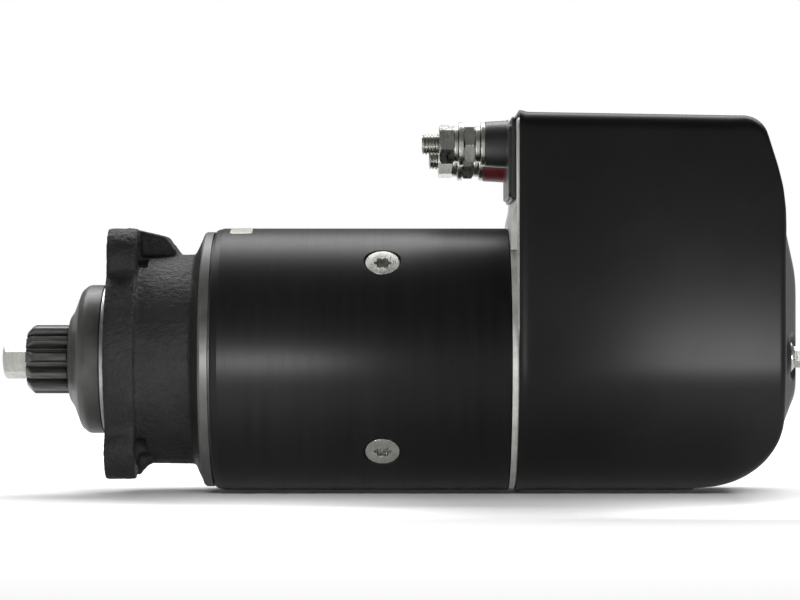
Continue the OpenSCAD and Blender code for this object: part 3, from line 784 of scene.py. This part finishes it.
def pole_screws():
    """Flat countersunk heads with a six-lobe socket."""
    top = YOKE_R - 0.75
    outline = [(55, 0.01), (55, 5.0), (top - 4.4, 5.0), (top - 0.5, 9.2, 0.3), (top, 9.25, 0.25), (top, 0.01)]
    heads = []
    for pole in POLE_ANGLES:
        head = lathe("head", outline, 72)
        socket = new_object("socket", *socket_shape(top - 3.2, top + 1))
        cut(head, socket)
        tidy_mesh(head.data, math.radians(30))
        head.data.transform(radial_place(POLE_X, pole))
        heads.append(head)
    screws = joined("pole_screw_heads", heads)
    return finish_piece(screws, "zinc", replaces=("pole_screws",))


def socket_shape(x0, x1):
    """A six-lobe socket as a prism, with a slight draught."""
    count, mean_r, lobe = 72, 3.95, 0.62
    rings = ((x0, -0.15), (x1 - 1.5, 0), (x1, 0.9))
    verts = []
    for x, grow in rings:
        for k in range(count):
            a = 2 * math.pi * k / count
            r = mean_r + lobe * math.cos(6 * a) + grow
            verts.append((x, r * math.cos(a), r * math.sin(a)))
    return verts, end_caps(len(rings), count) + strips(len(rings), count)


def blank_label():
    """A thin foil label with rounded corners, wrapped on the yoke."""
    low, high = box_mm("blank_label")
    half_angle, middle, corner = 20.0, 92.0, 1.6
    under_r, face_r = YOKE_R - 0.3, YOKE_R + 0.16
    across, along = 24, 60
    verts, faces = [], []
    half_w = (high.x - low.x) / 2
    centre_x = (high.x + low.x) / 2
    half_l = math.radians(half_angle) * YOKE_R
    for layer_r in (under_r, face_r):
        for i in range(along + 1):
            s = -half_l + 2 * half_l * i / along
            over = max(0, abs(s) - (half_l - corner))
            width = half_w - corner + math.sqrt(max(0, corner ** 2 - over ** 2))
            for k in range(across + 1):
                y, z = polar(layer_r, middle + math.degrees(s / YOKE_R))
                verts.append((centre_x - width + 2 * width * k / across, y, z))
    row = across + 1
    layer = row * (along + 1)
    for base in (0, layer):
        for i in range(along):
            for k in range(across):
                a = base + i * row + k
                faces.append((a, a + 1, a + row + 1, a + row))
    edge = list(range(row)) + [i * row + across for i in range(1, along + 1)]
    edge += [along * row + k for k in range(across - 1, -1, -1)] + [i * row for i in range(along - 1, 0, -1)]
    for a, b in zip(edge, edge[1:] + edge[:1]):
        faces.append((a, b, b + layer, a + layer))
    return finish_piece(new_object("label_foil", verts, faces), "label", replaces=("blank_label",))


yoke()
pole_screws()
blank_label()

# ---------------------------------------------------------------- terminals


def threaded(name, x0, x1, radius, pitch, centre):
    """A right-hand thread as real geometry: its radius follows a helix, with a chamfered start."""
    count = 48
    rows = max(8, int((x1 - x0) / pitch * 14))
    depth = 0.58 * pitch
    nose = 0.9
    verts = []
    for i in range(rows + 1):
        x = x0 + (x1 - x0) * i / rows
        for k in range(count):
            a = 2 * math.pi * k / count
            phase = ((x - x0) / pitch - k / count) % 1
            ridge = 1 - abs(2 * phase - 1)
            ridge = min(1, max(0, ridge * 1.35 - 0.12))
            r = min(radius - depth * (1 - ridge), radius - nose + (x - x0) * 1.1)
            verts.append((x, centre[0] - r * math.cos(a), centre[1] + r * math.sin(a)))
    faces = strips(rows + 1, count) + end_caps(rows + 1, count)
    return new_object(name, verts, faces, math.radians(40))


def terminal_studs():
    """Two threaded studs on plain shanks; the far one stands further back."""
    low, _ = box_mm("terminal_studs")
    thread_end, shank_end, far_setback = 204, 234.2, 4.3
    tips = {NEAR_STUD: low.x, FAR_STUD: low.x + far_setback}
    shank = [(thread_end - 0.5, 0.01), (thread_end - 0.5, STUD_R - 0.1), (shank_end, STUD_R - 0.1),
             (shank_end, 0.01)]
    made = []
    for centre, tip in tips.items():
        made.append(threaded("thread", tip, thread_end, STUD_R, THREAD_PITCH, centre))
        made.append(lathe("shank", shank, 48, centre=centre))
    studs = joined("threaded_studs", made)
    return finish_piece(studs, "zinc", replaces=("terminal_studs",))


def nuts(node, name, turns, chamfers):
    """A nut on each stud, each turned to its own angle."""
    low, high = box_mm(node)
    made = []
    for centre, turn in zip((NEAR_STUD, FAR_STUD), turns):
        made.append(hex_solid("nut", NUT_FLATS, low.x, high.x, turn, chamfers, STUD_R - 0.25, centre))
    return finish_piece(joined(name, made), "zinc", replaces=(node,))


def spring_washer(x0, x1, centre, gap_angle):
    """A split washer with a square section and its ends sprung a little apart."""
    inner, outer, count = STUD_R + 0.25, 10.0, 72
    thick = (x1 - x0) * 0.86
    rise = (x1 - x0) - thick
    gap = math.radians(7)
    corner = 0.35
    section = filleted([(0, inner, corner), (thick, inner, corner), (thick, outer, corner),
                        (0, outer, corner)], 3)
    verts = []
    for k in range(count + 1):
        t = k / count
        a = math.radians(gap_angle) + gap / 2 + (2 * math.pi - gap) * t
        for x, r in section:
            verts.append((x0 + rise * t + x, centre[0] - r * math.cos(a), centre[1] + r * math.sin(a)))
    faces = strips(count + 1, len(section)) + end_caps(count + 1, len(section))
    return new_object("spring_washer", verts, faces)


# Faces of the stack on each stud, from the tip: outer nut, spring washer, flat washer, inner nut,
# spring washer, flat washer, insulator.
OUTER = box_mm("outer_nuts")
INNER = box_mm("inner_nuts")
STACK = [OUTER[1].x, OUTER[1].x + 2.6, INNER[0].x, INNER[1].x, INNER[1].x + 3.0,
         box_mm("flat_washers")[1].x]
WASHER_R = 12


def washers():
    """Two split and two flat washers on each stud."""
    splits, flats = [], []
    for centre, gap_angle in ((NEAR_STUD, 212), (FAR_STUD, 160)):
        splits.append(spring_washer(STACK[0], STACK[1], centre, gap_angle))
        splits.append(spring_washer(STACK[3], STACK[4], centre, gap_angle + 97))
        for x0, x1 in ((STACK[1], STACK[2]), (STACK[4], STACK[5])):
            flats.append(lathe("washer", [(x0, STUD_R + 0.3, 0.2), (x0, WASHER_R, 0.45),
                                          (x1, WASHER_R, 0.3), (x1, STUD_R + 0.3, 0.2)], 96, 4, centre))
    finish_piece(joined("split_washers", splits), "zinc", replaces=("spring_washers",))
    finish_piece(joined("plain_washers", flats), "zinc", replaces=("flat_washers",))


def insulators():
    """The black and the red insulating cone round the studs."""
    for node, name, slot, centre in (("black_insulator", "black_insulator_cone", "black_plastic", NEAR_STUD),
                                     ("red_insulator", "red_insulator_cone", "red_plastic", FAR_STUD)):
        low, high = box_mm(node)
        cone = lathe(name, [(low.x, STUD_R + 0.1), (low.x, 12.3, 0.7), (high.x - 0.8, 12.95, 0.3),
                            (high.x, 13.4, 0.5), (high.x + 0.5, 13.4), (high.x + 0.5, STUD_R + 0.1)], 120, 5,
                     centre)
        finish_piece(cone, slot, replaces=(node,))


def terminal_plate():
    """A stepped black moulding: a raised pad on a wider back plate."""
    low, high = box_mm("terminal_plate")

    def rounded_box(y0, y1, z0, z1, radius):
        return filleted([(y0, z0, radius), (y1, z0, radius), (y1, z1, radius), (y0, z1, radius)], 6)

    back = prism_x("back", rounded_box(low.y, high.y, low.z, high.z, 3), low.x + 1.6, high.x, 0.5)
    pad = prism_x("pad", rounded_box(low.y + 3, high.y - 3, low.z + 1.5, high.z - 4, 4), low.x,
                  low.x + 2.2, 0.5)
    plate = joined("terminal_base", [back, pad])
    return finish_piece(plate, "black_plastic", replaces=("terminal_plate",))


terminal_studs()
nuts("outer_nuts", "outer_hex_nuts", (12, -20), (9.35, 9.6))
nuts("inner_nuts", "inner_hex_nuts", (26, 7), (9.35, 9.35))
washers()
insulators()
terminal_plate()

# ---------------------------------------------------------------- rear cover

COVER_X0 = box_mm("rear_cover")[0].x
COVER_END = 364.0                  # flat end face
COVER_HALF = YOKE_R
SHEET = 1.8
EDGE_R = 4.0                       # rounding between the walls and the end face
REAR_R = 43.5                      # rounding of the floor up to the end face
BOSS_X = 375.0                     # flat top of the raised boss
BOSS_FLAT = (31.0, -18.0, 45.6)    # its half width, lowest z and highest z
BOSS_FOOT = (57.0, -36.0, 79.0)    # the same where its slopes meet the end face
COVER_BOLT = (40.0, 2.0)           # |y| and z of the two bolts
PAD_X = 369.5                      # seat under each bolt's washer


def cover_top(x):
    """Height of the roof: a slight fall, a rounded shoulder, then a steep slope to the end face."""
    slope_start, corner_r, corner_z = 341.0, 14.0, 117.0
    if x <= slope_start:
        return 133.0 - 2.0 * (x - COVER_X0) / (slope_start - COVER_X0)
    shoulder = corner_z + math.sqrt(max(0, corner_r ** 2 - (x - slope_start) ** 2))
    if x <= 354.6:
        return shoulder
    slope = ((354.6, 120.4), (359.4, 105.0), (362.2, 94.0), (363.6, 84.0), (COVER_END, 76.0))
    for (x0, z0), (x1, z1) in zip(slope, slope[1:]):
        if x <= x1:
            return z0 + (z1 - z0) * (x - x0) / (x1 - x0)
    return slope[-1][1]


def cover_bottom(x):
    """Depth of the floor: straight, then round up to the end face."""
    centre_x = COVER_END - REAR_R
    if x <= centre_x:
        return -COVER_HALF
    return REAR_R - COVER_HALF - math.sqrt(max(0, REAR_R ** 2 - (x - centre_x) ** 2))


def soft_min(a, b, width):
    """The smaller value, with the corner between the two rounded over width."""
    h = max(0, width - abs(a - b)) / width
    return min(a, b) - h * h * width / 4


def soft_max(a, b, width):
    return -soft_min(-a, -b, width)


def end_reach(x, y, z):
    """How far the skin reaches at a point of the rear: a flat boss, four slopes and two bolt seats."""
    half_flat, low_flat, high_flat = BOSS_FLAT
    half_foot, low_foot, high_foot = BOSS_FOOT
    across = (half_foot - abs(y)) / (half_foot - half_flat)
    above = (high_foot - z) / (high_foot - high_flat)
    below = (z - low_foot) / (low_flat - low_foot)
    ramp = soft_min(soft_min(across, above, 0.3), below, 0.4)
    ramp = soft_min(ramp, 1, 0.25) if ramp > 0 else 3 * ramp
    reach = soft_max(x, COVER_END + (BOSS_X - COVER_END) * ramp, 2.0)
    near = math.hypot(abs(y) - COVER_BOLT[0], z - COVER_BOLT[1])
    seat_r, seat_blend = 13, 3.5
    seat = min(1, max(0, (seat_r - near) / seat_blend))
    seat = seat * seat * (3 - 2 * seat)
    return reach * (1 - seat) + PAD_X * seat


def cover_section(x, grow, inset):
    """The tombstone section at x as (y, z) points, evenly split; grow widens the lip.

    The roof's corners tighten towards the end face."""
    half = COVER_HALF + grow - inset
    top = cover_top(x) + grow
    tighten_x = 335
    late = min(1, max(0, (x - tighten_x) / (COVER_END - tighten_x)))
    corner = 9 - 4 * late
    floor = cover_bottom(x) - grow
    points = []
    for k in range(72):
        a = math.pi * k / 72
        z = -(COVER_HALF + grow) * math.sin(a)
        points.append((-half * math.cos(a), soft_max(z, floor, 5) if x > COVER_END - REAR_R else z))
    for k in range(30):
        points.append((half, (top - corner) * k / 30))
    for k in range(10):
        a = math.pi / 2 * k / 10
        points.append((half - corner + corner * math.cos(a), top - corner + corner * math.sin(a)))
    for k in range(36):
        points.append((half - corner - 2 * (half - corner) * k / 36, top))
    for k in range(10):
        a = math.pi / 2 * k / 10
        points.append((-half + corner - corner * math.sin(a), top - corner + corner * math.cos(a)))
    for k in range(30):
        points.append((-half, (top - corner) * (1 - k / 30)))
    return points


def rear_cover():
    """The deep-drawn cover as one skin with real thickness, open at the front."""
    lip = ((0, 0.8), (1.1, 0.8), (2.1, 0.62), (3.3, 0.25), (5.0, 0.0))
    stations = [(COVER_X0 + ahead, grow, 0) for ahead, grow in lip]
    straight = COVER_END - REAR_R
    first = COVER_X0 + lip[-1][0]
    stations += [(first + (straight - first) * k / 24, 0, 0) for k in range(1, 24)]
    for k in range(57):
        x = straight + REAR_R * math.sin(math.pi / 2 * k / 56)
        over = max(0, x - (COVER_END - EDGE_R))
        stations.append((x, 0, EDGE_R - math.sqrt(max(0, EDGE_R ** 2 - over ** 2))))
    verts = []
    for x, grow, inset in stations:
        for y, z in cover_section(x, grow, inset):
            verts.append((end_reach(x, y, z) if x > straight + 20 else x, y, z))
    last_ring = cover_section(COVER_END, 0, EDGE_R)
    count, rings, centre_z = len(last_ring), 40, 15.0
    for k in range(1, rings):
        keep = 1 - k / rings
        for y, z in last_ring:
            y, z = y * keep, centre_z + (z - centre_z) * keep
            verts.append((end_reach(COVER_END, y, z), y, z))
    total = len(stations) + rings - 1
    faces = strips(total, count)
    verts.append((end_reach(COVER_END, 0, centre_z), 0, centre_z))
    last = (total - 1) * count
    faces += [(last + i, last + (i + 1) % count, len(verts) - 1) for i in range(count)]
    cover = new_object("pressed_rear_cover", verts, faces, math.radians(60))
    shell = cover.modifiers.new("sheet", "SOLIDIFY")
    shell.thickness = SHEET * MM
    shell.offset = -1
    apply_modifiers(cover)
    cover.data.shade_smooth()
    cover.data.set_sharp_from_angle(angle=math.radians(50))
    return finish_piece(cover, "black_paint", replaces=("rear_cover",))


def cover_fixings():
    """Two small hex bolts on domed washers; the shanks run into the end shield."""
    head_x0, head_x1 = PAD_X + 2.4, PAD_X + 6.4
    shank_x0, shank_r, head_flats = 263, 3, 10
    bolts, pads = [], []
    for side in (-1, 1):
        centre = (side * COVER_BOLT[0], COVER_BOLT[1])
        bolts.append(hex_solid("bolt_head", head_flats, head_x0, head_x1, 8, (0, 4.9), 0, centre))
        bolts.append(lathe("shank", [(shank_x0, 0.01), (shank_x0, shank_r), (head_x0 + 1, shank_r),
                                     (head_x0 + 1, 0.01)], 32, centre=centre))
        pads.append(lathe("washer", [(PAD_X, 3.2), (PAD_X, 8.25, 0.25), (PAD_X + 0.8, 8.25, 0.35),
                                     (PAD_X + 2.1, 6.4, 1.2), (PAD_X + 2.45, 5.0, 0.3), (PAD_X + 2.45, 3.2)],
                          64, 5, centre))
    finish_piece(joined("cover_bolt_heads", bolts), "zinc", replaces=("cover_bolts",))
    finish_piece(joined("domed_washers", pads), "zinc", replaces=("cover_washers",))


rear_cover()
cover_fixings()

# ---------------------------------------------------------------- springs

def coil_spring(name, start, end, mean_r, wire_r, turns):
    """A compression spring from start to end, wound closer at its ends."""
    start, end = Vector(start), Vector(end)
    axis = (end - start).normalized()
    side = axis.orthogonal().normalized()
    other = axis.cross(side)
    length = (end - start).length - 2 * wire_r
    sides, rings = 10, 28 * turns
    verts = []
    for i in range(rings + 1):
        t = i / rings
        rise = wire_r + length * (0.5 * t + 0.5 * t * t * (3 - 2 * t))
        turn = 2 * math.pi * turns * t
        outward = side * math.cos(turn) + other * math.sin(turn)
        for k in range(sides):
            a = 2 * math.pi * k / sides
            along, out = rise + wire_r * math.sin(a), mean_r + wire_r * math.cos(a)
            verts.append(start + axis * along + outward * out)
    faces = strips(rings + 1, sides) + end_caps(rings + 1, sides)
    return new_object(name, verts, faces, math.radians(60))


# Each sliding spring: its body, its joint, mean radius, wire radius, turns, moving end and travel.
SLIDING_SPRINGS = {
    "pinion_spring": ("pinion_drive", "plunger_slide", 14.2, 1.0, 6, "rear", 16.0),
    "plunger_spring": ("solenoid_plunger", "plunger_slide", 9.0, 1.0, 5, "rear", 16.0),
    "relay_spring": ("relay_mover", "relay_slide", 8.0, 0.5, 3, "front", 3.3),
}
BRUSH_X = 241.4


def sliding_springs():
    """Springs along X, each wound closer at both ends and carried by its body."""
    for node, (body, joint, mean_r, wire_r, turns, moving_end, travel) in SLIDING_SPRINGS.items():
        low, high = box_mm(node)
        z = (low.z + high.z) / 2
        start, end = (low.x, 0, z), (high.x, 0, z)
        spring = coil_spring("coil_" + node, start, end, mean_r, wire_r, turns)
        finish_piece(spring, "steel", body, replaces=(node,))
        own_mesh(spring)


def brush_springs():
    """A spring behind each brush, running from its holder in to the brush and wound closer at both ends."""
    brush_r, holder_r = 44.1, 56.9
    for index, angle in enumerate(POLE_ANGLES):
        inward, outward = (Vector((BRUSH_X, *polar(r, angle))) for r in (brush_r, holder_r))
        spring = coil_spring(f"brush_spring_{index + 1}", outward, inward, 3.6, 0.5, 5)
        finish_piece(spring, "steel", replaces=("brush_springs",))
        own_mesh(spring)


sliding_springs()
brush_springs()

# ---------------------------------------------------------------- CAD nodes that stay


def dress_frame():
    """Gives every CAD node that is kept the procedural material of its slot."""
    slots = {s["node"]: s["material_slot"] for s in frame["record"]["subparts"]}
    for node, obj in frame["nodes"].items():
        obj.data.materials.clear()
        obj.data.materials.append(MATERIALS[slots[node]])
        obj.data.shade_smooth()
        obj.data.set_sharp_from_angle(angle=math.radians(30))


dress_frame()

# ---------------------------------------------------------------- studio


# Lights and floor are placed in metres, like everything in Blender.
FLOOR_HALF = 1.5
# Brightness of the world from straight down (0) over the horizon (0.5) to straight up (1).
SKY = ((0.0, 0.7), (0.38, 0.8), (0.43, 1.0), (0.565, 1.0), (0.61, 0.25), (0.78, 0.18), (1.0, 0.3))
# Each strip stands in front of one end of the motor and draws the long highlight along its side.
STRIPS = {"left_strip": 0.07, "right_strip": 0.35}
STRIP_Y = -0.19
STRIP_Z = -0.003


def pale_floor():
    """A plain pale square just under the motor."""
    z = cad_bounds[0].z - 0.5 * MM
    corners = [(x * FLOOR_HALF, y * FLOOR_HALF, z) for x, y in ((-1, -1), (1, -1), (1, 1), (-1, 1))]
    mesh = bpy.data.meshes.new("floor")
    mesh.from_pydata(corners, [], [(0, 1, 2, 3)])
    floor = bpy.data.objects.new("floor", mesh)
    bpy.context.scene.collection.objects.link(floor)
    n = Nodes("pale_floor")
    clouds = n.noise(3, 2, 0.5)
    colour = n.mixed(n.ranged(clouds, 0, 1), (0.9, 0.9, 0.9), (0.92, 0.92, 0.92))
    floor.data.materials.append(n.finish(colour, n.ranged(clouds, 0.85, 0.95), specular=0.1))


def area_light(name, place, target, size, power):
    """A soft rectangular light that the camera itself doesn't see."""
    data = bpy.data.lights.new(name, "AREA")
    data.shape = "RECTANGLE"
    data.size, data.size_y = size
    data.energy = power
    light = bpy.data.objects.new(name, data)
    light.location = place
    light.rotation_euler = (Vector(target) - Vector(place)).to_track_quat("-Z", "Y").to_euler()
    light.visible_camera = False
    bpy.context.scene.collection.objects.link(light)


def studio():
    """A bright horizon all round, a softer dome above, a softbox behind and two low strips in front."""
    scene = bpy.context.scene
    scene.view_settings.view_transform = "Standard"
    world = bpy.data.worlds.new("studio")
    scene.world = world
    world.use_nodes = True
    tree = world.node_tree
    place = tree.nodes.new("ShaderNodeTexCoord")
    split = tree.nodes.new("ShaderNodeSeparateXYZ")
    height = tree.nodes.new("ShaderNodeMapRange")
    ramp = tree.nodes.new("ShaderNodeValToRGB")
    height.inputs["From Min"].default_value = -1
    height.inputs["From Max"].default_value = 1
    tree.links.new(place.outputs["Generated"], split.inputs[0])
    tree.links.new(split.outputs["Z"], height.inputs["Value"])
    tree.links.new(height.outputs["Result"], ramp.inputs["Fac"])
    elements = ramp.color_ramp.elements
    while len(elements) < len(SKY):
        elements.new(0.5)
    for element, (position, value) in zip(elements, SKY):
        element.position = position
        element.color = (value, value, value, 1)
    tree.links.new(ramp.outputs["Color"], tree.nodes["Background"].inputs["Color"])
    area_light("back_softbox", (0.16, 0.8, 1.4), (0.16, 0.15, 0), (2.6, 0.8), 55)
    for name, x in STRIPS.items():
        area_light(name, (x, STRIP_Y, STRIP_Z), (x, 0, STRIP_Z), (0.1, 0.02), 0.27)


pale_floor()
studio()
